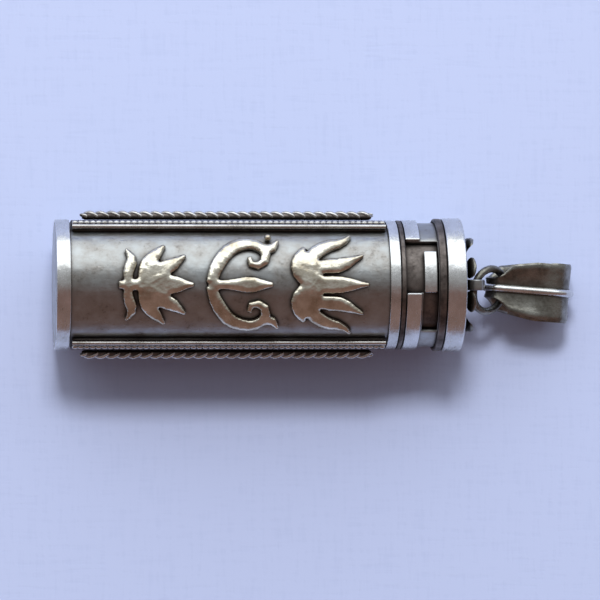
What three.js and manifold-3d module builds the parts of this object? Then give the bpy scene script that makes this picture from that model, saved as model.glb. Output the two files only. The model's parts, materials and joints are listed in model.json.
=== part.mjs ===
// Pendant prayer wheel: an oxidised silver scroll tube with a twist-off bayonet cap, an eye,
// a jump ring and a strap bail. It lies on its back: +X runs from the closed base to the bail,
// +Z is up through the front panel. Millimetres and degrees. Angles round the tube are
// measured from +Z towards +Y.
import * as THREE from 'three';
import { LoftGeometry } from 'three/addons/geometries/LoftGeometry.js';
import { mergeVertices } from 'three/addons/utils/BufferGeometryUtils.js';
import Module from 'manifold-3d';

const wasm = await Module();
wasm.setup();
const radians = THREE.MathUtils.degToRad;

// ---- Driving dimensions -------------------------------------------------------------------

const solder = 0.05; // gap between pieces that are soldered or pressed together
const facets = 40; // sides of every turned piece

// Tube and base
const tubeRadius = 7.4;
const tubeWall = 0.5;
const tubeLength = 39.9; // from the base plate to the mouth
const basePlate = 0.6;
const baseRingWidth = 1.7;
const baseRingWall = 0.35;
const collarWidth = 1.25;
const collarWall = 0.3;

// Neck sleeve, its lugs and the loose ring round it
const neckWall = 0.5;
const neckInTube = 6;
const neckPastLugs = 1.05; // how far the neck goes on beyond its lugs
const lugWidth = 1.55;
const lugRise = 0.6;
const lugArc = 40;
const lugFromEdge = 2.1; // from the skirt's open edge to the lug
const washerWidth = 0.6;
const washerWall = 0.75;

// Cap: skirt, bands, rings and dome
const turnGap = 0.15; // running gap of the cap on the neck
const skirtWall = 0.4;
const slotPlay = 0.15; // play of the lug in its slot, along the tube
const slotPlayAngle = 0.6;
const slotEntryPlay = 11.5; // how much wider than the lug the way in is, as an angle
const slotEdge = -7.5; // angle of the way in's lower side, where the lug lies when unlocked
const bandWidth = 1.75;
const bandWall = 0.35;
const rootRingWidth = 0.9;
const rootRingWall = 0.5;
const rimRingWidth = 2.3;
const rimRingWall = 0.55;
const rimOverhang = 0.45; // how far the rim ring stands past the skirt's end
const domeWall = 0.45;
const domeRise = 1.05;
const petalCount = 8;
const petalReach = 1.9;
const petalInset = 2.8; // from the dome's edge to a petal's foot
const petalCurl = 1; // how far a petal's tip leans outwards
const petalWidth = 2.7;
const petalThickness = 0.4;

// Eye, jump ring and bail
const ringWire = 0.45; // radius
const ringPitch = 2.6; // radius of the wire's centre line
const ringDroop = 40; // how far the ring hangs below the tube's axis, at rest
const ringYaw = 18; // how far the ring is turned aside in the eye
const eyePlay = 0.35; // between the ring's wire and the eye
const eyeWall = 0.4;
const eyeWidth = 1.3;
const bailPlace = 18; // where the bail hangs, round the ring from its far point
const bailYaw = 4.6; // how far the bail lies aside of the tube's axis
const bailThickness = 0.55;
const bailTipPlay = 0.7; // between the ring's wire and the bail's tip
const bailFoldRadius = 2.35; // inside, where a cord passes
const bailCentres = 5.9; // between the centres of tip and fold
const ringInTip = 0.5; // how far the ring's wire sits from the tip's centre
const bailTipWidth = 2.5;
const bailNeckWidth = 5.4;
const bailFoldWidth = 7.1;
const bailFlare = 0.6; // how far the strap's edges turn up beside the rib
const bailFoldFlare = 0.1;
const ribWidth = 1;
const ribHeight = 0.55;

// Trim along the two sides and ornaments on the panels
const trimEndGap = 0.25;
const stripArc = 64;
const stripThickness = 0.25;
const edgeWireAngle = 58.5;
const edgeWireRadius = 0.3;
const beadWireAngle = 65;
const beadWireRadius = 0.3;
const ropeStrand = 0.27; // radius of each of the rope's two strands
const ropeMiddle = 1.32; // mean radius of the two-strand section, in strand radii
const ropeLobe = 0.6; // how far the section swells and narrows about that mean
const ropeLay = 2.6; // length of one full turn of the strands
const ropeInset = 1.1; // the rope stops this far short of the wires beside it
const ornamentThickness = 0.75;
const panelBaseSpace = 4.6; // plain stretch of the panel beside the base
const panelMouthSpace = 1.6; // and beside the mouth
const panelMargin = 1.2; // between the ornaments and the edge wires
const granuleRadius = 0.42;

// Scroll inside
const scrollSlack = 0.45; // between the scroll and the neck
const scrollCore = 0.9;
const scrollEndGap = 0.6;
const tieWidth = 1.2;
const tieThickness = 0.15;

// ---- Places that follow from them ---------------------------------------------------------

const tubeStart = basePlate + solder;
const tubeEnd = tubeStart + tubeLength;
const neckRadius = tubeRadius - tubeWall - solder;
const neckStart = tubeEnd - neckInTube;
const skirtInner = neckRadius + turnGap;
const skirtRadius = skirtInner + skirtWall;
const washerStart = tubeEnd + solder;
const skirtStart = washerStart + washerWidth + solder;
const lugStart = skirtStart + lugFromEdge;
const lugEnd = lugStart + lugWidth;
const neckEnd = lugEnd + neckPastLugs;
const lugAngle = slotEdge + slotPlayAngle / 2 + lugArc / 2;
const slotStart = lugStart - slotPlay;
const slotEnd = lugEnd + slotPlay;
const slotEntry = lugArc + slotEntryPlay;
const rootRingStart = slotEnd + solder;
const rimRingStart = rootRingStart + rootRingWidth + solder;
const skirtEnd = rimRingStart + rimRingWidth - rimOverhang;
const domeStart = skirtEnd + solder;
const domeTip = domeStart + domeRise;
const petalInner = skirtRadius - petalInset;
const eyeHole = ringWire + eyePlay;
const eyeRadius = eyeHole + eyeWall;
const eyeX = domeTip + solder + eyeRadius;
const trimStart = baseRingWidth + trimEndGap;
const trimEnd = tubeEnd - collarWidth - trimEndGap;
const stripRadius = tubeRadius + solder + stripThickness;
const ornamentSpan = (trimEnd - trimStart - panelBaseSpace - panelMouthSpace) / 3;
const ornamentHalf = radians(edgeWireAngle) * (tubeRadius + solder) - panelMargin;
const scrollRadius = neckRadius - neckWall - scrollSlack;
const bailTipRadius = ringWire + bailTipPlay;

// ---- Shape helpers ------------------------------------------------------------------------

const pendant = new THREE.Group();
const tubeAxes = new THREE.Matrix4().makeBasis(
  new THREE.Vector3(0, 1, 0), new THREE.Vector3(0, 0, 1), new THREE.Vector3(1, 0, 0),
);
const latheAxes = new THREE.Matrix4().makeBasis(
  new THREE.Vector3(0, -1, 0), new THREE.Vector3(1, 0, 0), new THREE.Vector3(0, 0, 1),
);

const looks = {
  silver: { color: 0x9fa3a1, roughness: 0.38, metalness: 1 },
  brightSilver: { color: 0xc3c6c6, roughness: 0.3, metalness: 1 },
  darkSilver: { color: 0x4a4643, roughness: 0.55, metalness: 1 },
  brass: { color: 0xc9b888, roughness: 0.36, metalness: 1 },
  paper: { color: 0xd9c9a3, roughness: 0.9, metalness: 0 },
  thread: { color: 0x8c2f2b, roughness: 0.95, metalness: 0 },
};

function add(name, geometry, look, parent = pendant) {
  const mesh = new THREE.Mesh(geometry, new THREE.MeshStandardMaterial(looks[look]));
  mesh.name = name;
  parent.add(mesh);
  return mesh;
}

// Points shared by neighbouring faces are merged, so that the surface closes.
function closed(geometry) {
  const bare = new THREE.BufferGeometry();
  bare.setAttribute('position', geometry.attributes.position);
  bare.setIndex(geometry.index);
  return mergeVertices(bare, 1e-4);
}

// A skin through outlines in space. It is closed at both ends, or runs round into a loop.
function lofted(outlines, isLoop = false) {
  const middles = outlines.map((outline) =>
    outline.reduce((sum, point) => sum.add(point), new THREE.Vector3()).divideScalar(outline.length));
  const ahead = middles[1].clone().sub(middles[0]);
  const facing = new THREE.Vector3();
  outlines[0].forEach((point, i) => {
    const next = outlines[0][(i + 1) % outlines[0].length];
    facing.add(point.clone().sub(middles[0]).cross(next.clone().sub(middles[0])));
  });
  const sections = facing.dot(ahead) < 0 ? outlines.map((outline) => outline.toReversed()) : outlines;
  return closed(isLoop
    ? new LoftGeometry([...sections, sections[0]])
    : new LoftGeometry(sections, { capStart: true, capEnd: true }));
}

function solid(geometry) {
  const whole = closed(geometry);
  return new wasm.Manifold(new wasm.Mesh({
    numProp: 3,
    vertProperties: new Float32Array(whole.attributes.position.array),
    triVerts: new Uint32Array(whole.index.array),
  }));
}

function geometryOf(manifold) {
  const mesh = manifold.getMesh();
  const geometry = new THREE.BufferGeometry();
  geometry.setAttribute('position', new THREE.BufferAttribute(mesh.vertProperties, 3));
  geometry.setIndex(new THREE.BufferAttribute(mesh.triVerts, 1));
  return geometry;
}

const cut = (body, ...tools) =>
  geometryOf(tools.reduce((rest, tool) => rest.subtract(solid(tool)), solid(body)));
const join = (pieces) => geometryOf(pieces.map(solid).reduce((whole, piece) => whole.add(piece)));

// A turned piece round the tube's axis, from [radius, x] pairs round its section. The section
// starts and ends on the axis, or else it is a loop clear of the axis.
function turned(outline) {
  const points = outline.map(([radius, x]) => new THREE.Vector2(radius, x));
  if (THREE.ShapeUtils.isClockWise(points)) points.reverse();
  if (points[0].x > 0) points.push(points[0].clone());
  const geometry = new THREE.LatheGeometry(points, facets, Math.PI / facets);
  return closed(geometry.applyMatrix4(latheAxes));
}

// A turned hoop with its two outer edges worn down.
function hoop(inner, wall, start, width, wear = 0.3) {
  const outer = inner + wall;
  const worn = Math.min(wall, width / 2) * wear;
  return turned([
    [inner, start],
    [outer - worn, start],
    [outer, start + worn],
    [outer, start + width - worn],
    [outer - worn, start + width],
    [inner, start + width],
  ]);
}

// Part of a hoop, centred on an angle round the tube.
function sector(inner, outer, angle, arc, start, end) {
  const from = radians(90 - angle - arc / 2);
  const to = radians(90 - angle + arc / 2);
  const shape = new THREE.Shape();
  shape.absarc(0, 0, outer, from, to, false);
  shape.absarc(0, 0, inner, to, from, true);
  const geometry = new THREE.ExtrudeGeometry(shape, {
    depth: end - start,
    bevelEnabled: false,
    curveSegments: Math.max(2, Math.ceil(arc / (360 / facets))),
  });
  return closed(geometry.applyMatrix4(tubeAxes).translate(start, 0, 0));
}

// A straight round wire laid along the tube.
function wire(radius, centreRadius, angle, start, end, sides = 8) {
  const geometry = new THREE.CylinderGeometry(radius, radius, end - start, sides);
  geometry.rotateZ(-Math.PI / 2);
  const turn = radians(angle);
  return closed(geometry.translate(
    (start + end) / 2, centreRadius * Math.sin(turn), centreRadius * Math.cos(turn),
  ));
}

// ---- Tube, base and neck ------------------------------------------------------------------

function makeTube() {
  const inner = tubeRadius - tubeWall;
  add('body_tube', turned([
    [inner, tubeStart], [tubeRadius, tubeStart], [tubeRadius, tubeEnd], [inner, tubeEnd],
  ]), 'silver');
  add('base_plate', turned([[0, 0], [tubeRadius, 0], [tubeRadius, basePlate], [0, basePlate]]), 'silver');
  const outside = tubeRadius + solder;
  add('base_ring', hoop(outside, baseRingWall, 0, baseRingWidth), 'brightSilver');
  add('collar_ring', hoop(outside, collarWall, tubeEnd - collarWidth, collarWidth), 'brightSilver');
}

function makeNeck() {
  const inner = neckRadius - neckWall;
  add('neck_tube', turned([
    [inner, neckStart], [neckRadius, neckStart], [neckRadius, neckEnd], [inner, neckEnd],
  ]), 'darkSilver');
  const foot = neckRadius + solder;
  for (const side of [1, 2]) {
    const angle = lugAngle + 180 * (side - 1);
    add(`neck_lug_${side}`, sector(foot, neckRadius + lugRise, angle, lugArc, lugStart, lugEnd), 'brightSilver');
  }
  add('neck_washer', hoop(skirtInner, washerWall, washerStart, washerWidth, 0.6), 'darkSilver');
}

// ---- Trim along the sides -----------------------------------------------------------------

// Two strands twisted together: a two-lobed section that turns as it runs along the tube.
function rope(angle) {
  const start = trimStart + ropeInset;
  const end = trimEnd - ropeInset;
  const steps = Math.round((end - start) / ropeLay * 5);
  const centre = stripRadius + solder + 2 * ropeStrand;
  const middle = [centre * Math.sin(radians(angle)), centre * Math.cos(radians(angle))];
  const sections = Array.from({ length: steps + 1 }, (_, step) => {
    const along = step / steps;
    const x = THREE.MathUtils.lerp(start, end, along);
    const twist = 2 * Math.PI * (x - start) / ropeLay;
    return Array.from({ length: 6 }, (_, corner) => {
      const round = corner / 6 * 2 * Math.PI;
      const lobe = ropeStrand * (ropeMiddle + ropeLobe * Math.cos(2 * round));
      const turn = round + twist;
      return new THREE.Vector3(x, middle[0] + lobe * Math.cos(turn), middle[1] + lobe * Math.sin(turn));
    });
  });
  return lofted(sections);
}

function makeTrim() {
  const top = stripRadius + solder;
  let count = 0;
  [90, -90].forEach((angle, side) => {
    add(`side_strip_${side + 1}`,
      sector(tubeRadius + solder, stripRadius, angle, stripArc, trimStart, trimEnd), 'darkSilver');
    add(`rope_wire_${side + 1}`, rope(angle), 'silver');
    for (const panel of [1, -1]) {
      count += 1;
      const fromSide = (place) => angle - Math.sign(angle) * panel * (90 - place);
      add(`edge_wire_${count}`,
        wire(edgeWireRadius, top + edgeWireRadius, fromSide(edgeWireAngle), trimStart, trimEnd), 'silver');
      add(`bead_wire_${count}`,
        wire(beadWireRadius, top + beadWireRadius, fromSide(beadWireAngle), trimStart, trimEnd), 'silver');
    }
  });
}

// ---- Ornaments ----------------------------------------------------------------------------

// The motifs are drawn on a cell this long, and this wide on each side of the axis.
const cell = { along: 10.3, aside: 6.4 };

// A point of a drawing, fitted to the panel and bent round the tube: x is along the tube from
// the ornament's centre, y round it, and height above it.
function bent(centre, x, y, height, facing) {
  const radius = tubeRadius + solder + height;
  const turn = y * ornamentHalf / cell.aside / (tubeRadius + solder);
  return new THREE.Vector3(
    centre + x * ornamentSpan / cell.along, facing * radius * Math.sin(turn), facing * radius * Math.cos(turn),
  );
}

// One stroke of sheet: a smooth line through the points, whose width swells and tapers.
function stroke({ points, widths, steps = 7 }, centre, facing) {
  const line = new THREE.CatmullRomCurve3(points.map(([x, y]) => new THREE.Vector3(x, y, 0)));
  const broad = new THREE.SplineCurve(widths.map((width, i) => new THREE.Vector2(i, width)));
  const sections = Array.from({ length: steps + 1 }, (_, step) => {
    const place = line.getPointAt(step / steps);
    const ahead = line.getTangentAt(step / steps);
    const half = Math.max(broad.getPoint(step / steps).y / 2, 0.1);
    const [left, right] = [1, -1].map((side) => [
      place.x - side * ahead.y * half, place.y + side * ahead.x * half,
    ]);
    return [
      bent(centre, ...left, 0, facing), bent(centre, place.x, place.y, 0, facing),
      bent(centre, ...right, 0, facing),
      bent(centre, ...right, ornamentThickness, facing), bent(centre, ...left, ornamentThickness, facing),
    ];
  });
  return lofted(sections);
}

// Each motif is even about the tube's axis, and its top points to the bail. A stroke that
// leaves the axis is drawn once on each side.
const bothSides = (strokes) => strokes.flatMap((part) => [
  part, { ...part, points: part.points.map(([x, y]) => [x, -y]) },
]);

// A lotus flower: a middle petal, two pairs beside it, and a stalk with two leaves.
const lotus = [
  { points: [[-1.6, 0], [0.4, 0], [2.4, 0], [4.4, 0]], widths: [1, 2.1, 1.9, 0.4] },
  { points: [[-4.5, 0], [-3, 0], [-1.2, 0]], widths: [0.9, 1.2, 1.6], steps: 3 },
  ...bothSides([
    { points: [[-1.5, 0.2], [0, 1.5], [1.7, 2.2], [3.4, 3.4]], widths: [1.1, 1.7, 1.6, 0.4] },
    { points: [[-1.7, 0.2], [-1.2, 2.2], [-0.1, 3.5], [1, 4.7]], widths: [1.1, 1.6, 1.5, 0.4] },
    { points: [[-3.4, 0.1], [-3.3, 1.6], [-2.9, 2.9], [-3.6, 4.2]], widths: [0.9, 1.3, 1.2, 0.3] },
  ]),
];

// A cloud: two curls that meet under a bud.
const cloud = [
  { points: [[-4.3, 0], [-2, 0], [1.2, 0], [3.4, 0]], widths: [1, 1.2, 1.9, 0.5] },
  ...bothSides([
    {
      points: [[-4, 0.1], [-3.1, 2.3], [-1.4, 4.4], [1, 5], [2.5, 3.9], [2.2, 2.4], [0.8, 2.3], [0.6, 3.2]],
      widths: [1.2, 1.6, 1.7, 1.6, 1.4, 1.2, 1, 0.6],
      steps: 15,
    },
    { points: [[2.2, 4.2], [3.2, 4.3], [4.1, 5.4]], widths: [1.3, 1.1, 0.4], steps: 4 },
  ]),
];

// A flame: one tongue between two pairs that curl away from it, over a pair of root curls.
const flame = [
  { points: [[-3.2, 0], [-1, 0], [1.8, 0], [4.5, 0]], widths: [1.2, 2, 1.7, 0.3] },
  ...bothSides([
    { points: [[-2.6, 0.2], [-1.3, 2], [0.9, 2.2], [3.8, 3.4]], widths: [1.2, 1.7, 1.6, 0.3] },
    {
      points: [[-3, 0.3], [-2.5, 3], [-0.6, 4.6], [1.4, 5.2], [2.4, 6.2]],
      widths: [1.3, 1.7, 1.7, 1.3, 0.4],
      steps: 9,
    },
    { points: [[-3.1, 0.2], [-4.2, 1.7], [-3.9, 3.4], [-3.1, 4.4]], widths: [1.2, 1.3, 1.1, 0.5] },
  ]),
];

const granulePlace = [2.9, 5.8];

function makeOrnaments() {
  const motifs = [lotus, cloud, flame];
  const first = trimStart + panelBaseSpace + ornamentSpan / 2;
  [1, -1].forEach((facing) => {
    const panel = facing > 0 ? 'front' : 'back';
    motifs.forEach((motif, i) => {
      const centre = first + i * ornamentSpan;
      add(`ornament_${panel}_${i + 1}`, join(motif.map((part) => stroke(part, centre, facing))), 'brass');
    });
  });
  const dot = new THREE.SphereGeometry(granuleRadius, 8, 6);
  const place = bent(first + ornamentSpan, ...granulePlace, granuleRadius, 1);
  add('granule', closed(dot.translate(place.x, place.y, place.z)), 'brass');
}

// ---- Scroll inside ------------------------------------------------------------------------

function makeScroll() {
  const drop = neckRadius - neckWall - scrollRadius - tieThickness - 2 * solder;
  const start = basePlate + scrollEndGap;
  const end = neckEnd - scrollEndGap;
  const scroll = turned([
    [scrollCore, start], [scrollRadius, start], [scrollRadius, end], [scrollCore, end],
  ]);
  add('mantra_scroll', scroll, 'paper').position.z = -drop;
  const tieStart = (start + end - tieWidth) / 2;
  const tieInner = scrollRadius + solder;
  const tie = turned([
    [tieInner, tieStart], [tieInner + tieThickness, tieStart],
    [tieInner + tieThickness, tieStart + tieWidth], [tieInner, tieStart + tieWidth],
  ]);
  add('scroll_tie', tie, 'thread').position.z = -drop;
}

// ---- Cap ----------------------------------------------------------------------------------

function makeCap() {
  const [cutInner, cutOuter] = [skirtInner - 1, skirtRadius + 1];
  const slots = [0, 180].flatMap((half) => {
    const pocketArc = lugArc + slotPlayAngle;
    const pocket = slotEdge - pocketArc / 2 + half;
    return [
      sector(cutInner, cutOuter, slotEdge + slotEntry / 2 + half, slotEntry, skirtStart - 1, slotEnd),
      sector(cutInner, cutOuter, pocket + slotPlayAngle, pocketArc + 2 * slotPlayAngle, slotStart, slotEnd),
    ];
  });
  const sleeve = turned([
    [skirtInner, skirtStart], [skirtRadius, skirtStart], [skirtRadius, skirtEnd], [skirtInner, skirtEnd],
  ]);
  add('cap_skirt', cut(sleeve, ...slots), 'silver');

  const bandInner = skirtRadius + solder;
  const bandArc = 180 - slotEntry;
  for (const side of [1, 2]) {
    const angle = slotEdge - bandArc / 2 + 180 * (side - 1);
    add(`cap_band_${side}`,
      sector(bandInner, bandInner + bandWall, angle, bandArc, skirtStart, skirtStart + bandWidth),
      'brightSilver');
  }
  add('cap_root_ring', hoop(bandInner, rootRingWall, rootRingStart, rootRingWidth, 0.6), 'darkSilver');
  add('cap_rim_ring', hoop(bandInner, rimRingWall, rimRingStart, rimRingWidth, 0.6), 'brightSilver');
  add('cap_dome', dome(), 'darkSilver');
  for (let i = 0; i < petalCount; i += 1) {
    const leaf = petal();
    leaf.rotateX(-radians(360 / petalCount * (i + 0.5) - 90));
    add(`cap_petal_${i + 1}`, leaf, 'silver');
  }
  const loop = new THREE.LatheGeometry([
    [eyeHole, -1], [eyeRadius, -1], [eyeRadius, 1], [eyeHole, 1], [eyeHole, -1],
  ].map(([radius, side]) => new THREE.Vector2(radius, side * eyeWidth / 2)), 20, Math.PI / 20);
  add('cap_eye', closed(loop.translate(eyeX, 0, 0)), 'silver');
}

// From the edge of a shallow dome to its tip.
function domeArc(radius, rise) {
  const points = 4;
  const arc = Array.from({ length: points }, (_, i) => {
    const turn = i / points * Math.PI / 2;
    return [radius * Math.cos(turn), domeStart + rise * Math.sin(turn)];
  });
  return [...arc, [0, domeStart + rise]];
}

function dome() {
  return turned([
    ...domeArc(skirtInner, domeRise - domeWall).reverse(),
    ...domeArc(skirtRadius, domeRise),
  ]);
}

// A small leaf on the dome that curls away from the axis towards its tip.
function petal() {
  const steps = 4;
  const lift = domeRise * Math.sqrt(1 - (petalInner / skirtRadius) ** 2) + solder + petalThickness / 2;
  const sections = Array.from({ length: steps + 1 }, (_, step) => {
    const along = step / steps;
    const lean = Math.sin(along * Math.PI / 2);
    const radius = petalInner + petalCurl * lean;
    const x = domeStart + lift + (petalReach - lift) * along ** 1.5;
    const half = petalWidth / 2 * Math.sin(Math.PI * (0.3 + 0.6 * along));
    const deep = petalThickness / 2;
    return [[-half, -deep], [0, -deep * 1.2], [half, -deep], [half, deep], [0, deep * 1.2], [-half, deep]]
      .map(([side, out]) => new THREE.Vector3(x + out * (1 - along), side, radius - out * along));
  });
  return lofted(sections);
}

// ---- Jump ring and bail -------------------------------------------------------------------

// The loop of the bail seen from the side: an arc round the ring, an arc round the cord, and
// the two straight leaves between them. Each place holds its point and outward direction.
function bailLoop(steps) {
  const tip = bailTipRadius + bailThickness / 2;
  const fold = bailFoldRadius + bailThickness / 2;
  const slope = Math.asin((fold - tip) / bailCentres);
  const quarter = Math.PI / 2;
  const places = [];
  const arc = (centre, radius, from, to, count) => {
    for (let i = 0; i <= count; i += 1) {
      const turn = THREE.MathUtils.lerp(from, to, i / count);
      const out = new THREE.Vector2(Math.cos(turn), Math.sin(turn));
      places.push({ point: new THREE.Vector2(centre, 0).addScaledVector(out, radius), out });
    }
  };
  const leaf = (side) => {
    const out = new THREE.Vector2(-Math.sin(slope), side * Math.cos(slope));
    for (let i = 1; i < steps.leaf; i += 1) {
      const share = side > 0 ? 1 - i / steps.leaf : i / steps.leaf;
      const centre = share * bailCentres;
      const radius = THREE.MathUtils.lerp(tip, fold, share);
      places.push({ point: new THREE.Vector2(centre, 0).addScaledVector(out, radius), out });
    }
  };
  arc(bailCentres, fold, -quarter - slope, quarter + slope, steps.fold);
  leaf(1);
  arc(0, tip, quarter + slope, 3 * quarter - slope, steps.tip);
  leaf(-1);
  return places;
}

// The strap is widest at the fold and narrows fast just before the ring.
function bailHalfWidth(x) {
  const along = THREE.MathUtils.smoothstep(x, -bailTipRadius, ringInTip + 0.4);
  const neck = THREE.MathUtils.lerp(bailTipWidth, bailNeckWidth, along);
  const rest = THREE.MathUtils.clamp((x - ringInTip) / (bailCentres - ringInTip), 0, 1);
  return (neck + (bailFoldWidth - bailNeckWidth) * rest) / 2;
}

function bailStrap(steps) {
  const across = [-1, -0.5, 0, 0.5, 1];
  const sections = bailLoop(steps).map(({ point, out }) => {
    const half = bailHalfWidth(point.x);
    const round = THREE.MathUtils.smoothstep(point.x, bailCentres * 0.5, bailCentres);
    const flare = THREE.MathUtils.lerp(bailFlare * half / bailHalfWidth(bailCentres), bailFoldFlare, round);
    const at = (share, side) => {
      const lift = flare * share * share + side * bailThickness / 2;
      return new THREE.Vector3(point.x + out.x * lift, share * half, point.y + out.y * lift);
    };
    return [...across.map((share) => at(share, 1)), ...across.toReversed().map((share) => at(share, -1))];
  });
  return lofted(sections, true);
}

function bailRib(steps) {
  const sections = bailLoop(steps).map(({ point, out }) => {
    const base = bailThickness / 2 + solder;
    return Array.from({ length: 5 }, (_, i) => {
      const turn = i / 4 * Math.PI;
      const lift = base + 0.06 + (ribHeight - 0.06) * Math.sin(turn);
      return new THREE.Vector3(
        point.x + out.x * lift, -ribWidth / 2 * Math.cos(turn), point.y + out.y * lift,
      );
    });
  });
  return lofted(sections, true);
}

function jumpRing() {
  const geometry = new THREE.TorusGeometry(ringPitch, ringWire, 10, 28);
  return closed(geometry.translate(ringPitch, 0, 0));
}

// The ring hangs from the eye and the bail's fold reaches the surface below.
function makeRingAndBail(axisHeight) {
  const ringPivot = new THREE.Group();
  ringPivot.position.x = eyeX;
  ringPivot.rotation.set(0, radians(ringDroop), -radians(ringYaw), 'ZYX');
  pendant.add(ringPivot);
  add('jump_ring', jumpRing(), 'silver', ringPivot);

  const turn = radians(bailPlace);
  const wireInBail = new THREE.Vector3(1 + Math.cos(turn), Math.sin(turn), 0).multiplyScalar(ringPitch)
    .applyEuler(ringPivot.rotation).add(ringPivot.position);
  const foldOutside = bailFoldRadius + bailThickness + solder + ribHeight;
  const pitch = Math.asin((axisHeight + wireInBail.z - foldOutside) / (bailCentres - ringInTip));
  const bailPivot = new THREE.Group();
  bailPivot.position.copy(wireInBail);
  bailPivot.rotation.set(0, pitch, -radians(bailYaw), 'ZYX');
  pendant.add(bailPivot);
  const steps = { tip: 10, fold: 16, leaf: 4 };
  add('bail_strap', bailStrap(steps), 'silver', bailPivot).position.x = -ringInTip;
  add('bail_rib', bailRib(steps), 'silver', bailPivot).position.x = -ringInTip;
}

// ---- Assembly -----------------------------------------------------------------------------

makeTube();
makeNeck();
makeTrim();
makeOrnaments();
makeScroll();
makeCap();
const lying = new THREE.Box3().setFromObject(pendant, true);
makeRingAndBail(-lying.min.z);

// The origin is below the middle of the whole pendant, on the surface that it lies on.
const bounds = new THREE.Box3().setFromObject(pendant, true);
const middle = bounds.getCenter(new THREE.Vector3());
pendant.position.set(-middle.x, -middle.y, -bounds.min.z);

export default pendant;
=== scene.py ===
"""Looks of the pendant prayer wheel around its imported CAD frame. Metres; +X runs from the
closed base to the bail, +Z up through the front panel. Angles round the tube are in degrees
from +Z towards +Y. Sizes are read from the CAD nodes where they can be; the rest are in mm."""

import json
import math

import bmesh
import bpy
from mathutils import Matrix, Vector, kdtree, noise


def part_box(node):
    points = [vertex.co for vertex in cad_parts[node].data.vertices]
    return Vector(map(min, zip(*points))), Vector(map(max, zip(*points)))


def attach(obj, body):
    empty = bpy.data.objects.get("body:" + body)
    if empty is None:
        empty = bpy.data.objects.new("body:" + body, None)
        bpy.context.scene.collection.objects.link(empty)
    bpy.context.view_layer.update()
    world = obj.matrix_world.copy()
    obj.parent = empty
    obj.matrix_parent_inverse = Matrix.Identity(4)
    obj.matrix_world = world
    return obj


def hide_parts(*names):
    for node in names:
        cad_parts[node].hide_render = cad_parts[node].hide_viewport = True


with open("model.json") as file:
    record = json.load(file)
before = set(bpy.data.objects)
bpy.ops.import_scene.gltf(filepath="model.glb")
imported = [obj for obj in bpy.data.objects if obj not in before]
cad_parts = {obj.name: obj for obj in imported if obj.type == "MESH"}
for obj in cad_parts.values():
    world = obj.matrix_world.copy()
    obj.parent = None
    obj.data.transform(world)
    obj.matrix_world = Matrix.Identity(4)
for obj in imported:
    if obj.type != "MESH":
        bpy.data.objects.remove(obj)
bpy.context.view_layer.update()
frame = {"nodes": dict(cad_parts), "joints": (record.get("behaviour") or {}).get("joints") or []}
mm = 0.001

# ---- Places read from the frame -----------------------------------------------------------


def span(node):
    """The node's extent along the tube: its start, end and middle."""
    low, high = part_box(node)
    return low[0], high[0], (low[0] + high[0]) / 2


def outer_radius(node):
    low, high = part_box(node)
    return (high[1] - low[1]) / 2


base_low, base_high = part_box("base_plate")
AXIS = Vector((0, (base_low[1] + base_high[1]) / 2, (base_low[2] + base_high[2]) / 2))
TUBE = outer_radius("body_tube")
TUBE_START, TUBE_END, _ = span("body_tube")
TUBE_WALL = 0.5 * mm
NECK_WALL = 0.5 * mm
SKIRT_WALL = 0.4 * mm
LUG_RISE = 0.6 * mm
RUNNING_GAP = 0.15 * mm  # between parts that move on each other
SOLDER_GAP = 0.01 * mm  # under a ring that is soldered on
PIN_HOLE = 0.01 * mm  # radius left open in the middle of a turned disc
TURNS = 160  # sides of a turned piece


def around(x, radius, angle):
    """The point at an angle, in degrees, round the tube's axis."""
    turn = math.radians(angle)
    return Vector((x, AXIS.y + radius * math.sin(turn), AXIS.z + radius * math.cos(turn)))


def arc_of(node):
    """First and last angle round the tube that a CAD node covers, in degrees. They lie on the
    two sides of the widest gap between the angles of its vertices."""
    angles = sorted({
        round(math.degrees(math.atan2(vert.co.y - AXIS.y, vert.co.z - AXIS.z)), 3)
        for vert in frame["nodes"][node].data.vertices
    })
    gaps = [(after - before, after) for before, after in zip(angles, angles[1:])]
    gaps.append((angles[0] + 360 - angles[-1], angles[0]))
    _, first = max(gaps)
    last = angles[angles.index(first) - 1]
    return first, last if last > first else last + 360


# ---- Mesh helpers -------------------------------------------------------------------------


def finish_mesh(name, bm, body, material, replaces=(), smooth_angle=35):
    """Turns a bmesh into a piece that rides on a body."""
    bmesh.ops.remove_doubles(bm, verts=bm.verts, dist=1e-7)
    bmesh.ops.recalc_face_normals(bm, faces=bm.faces)
    mesh = bpy.data.meshes.new(name)
    bm.to_mesh(mesh)
    bm.free()
    piece = bpy.data.objects.new(name, mesh)
    bpy.context.scene.collection.objects.link(piece)
    finish_piece(piece, body, material, replaces, smooth_angle)


def finish_piece(piece, body, material, replaces, smooth_angle):
    """Gives a piece its material and shading and its body, and hides the CAD nodes it stands for.
    """
    piece.data.materials.append(material)
    shade(piece, smooth_angle)
    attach(piece, body)
    if replaces:
        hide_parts(*replaces)


def shade(piece, smooth_angle):
    bpy.context.view_layer.objects.active = piece
    piece.select_set(True)
    bpy.ops.object.shade_smooth_by_angle(angle=math.radians(smooth_angle))
    piece.select_set(False)


def apply_modifiers(piece):
    depsgraph = bpy.context.evaluated_depsgraph_get()
    made = bpy.data.meshes.new_from_object(piece.evaluated_get(depsgraph))
    piece.modifiers.clear()
    piece.data = made


def grid_faces(bm, rows, loop_rows=False):
    """Joins rows of vertices with quads. Each row is a closed loop."""
    last_row = len(rows) if loop_rows else len(rows) - 1
    for i in range(last_row):
        row, after = rows[i], rows[(i + 1) % len(rows)]
        for j in range(len(row)):
            k = (j + 1) % len(row)
            bm.faces.new((row[j], row[k], after[k], after[j]))


def bar_faces(bm, rows):
    """Joins rows of vertices into a bar and closes both its ends."""
    grid_faces(bm, rows)
    bm.faces.new(rows[0])
    bm.faces.new(rows[-1])


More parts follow.
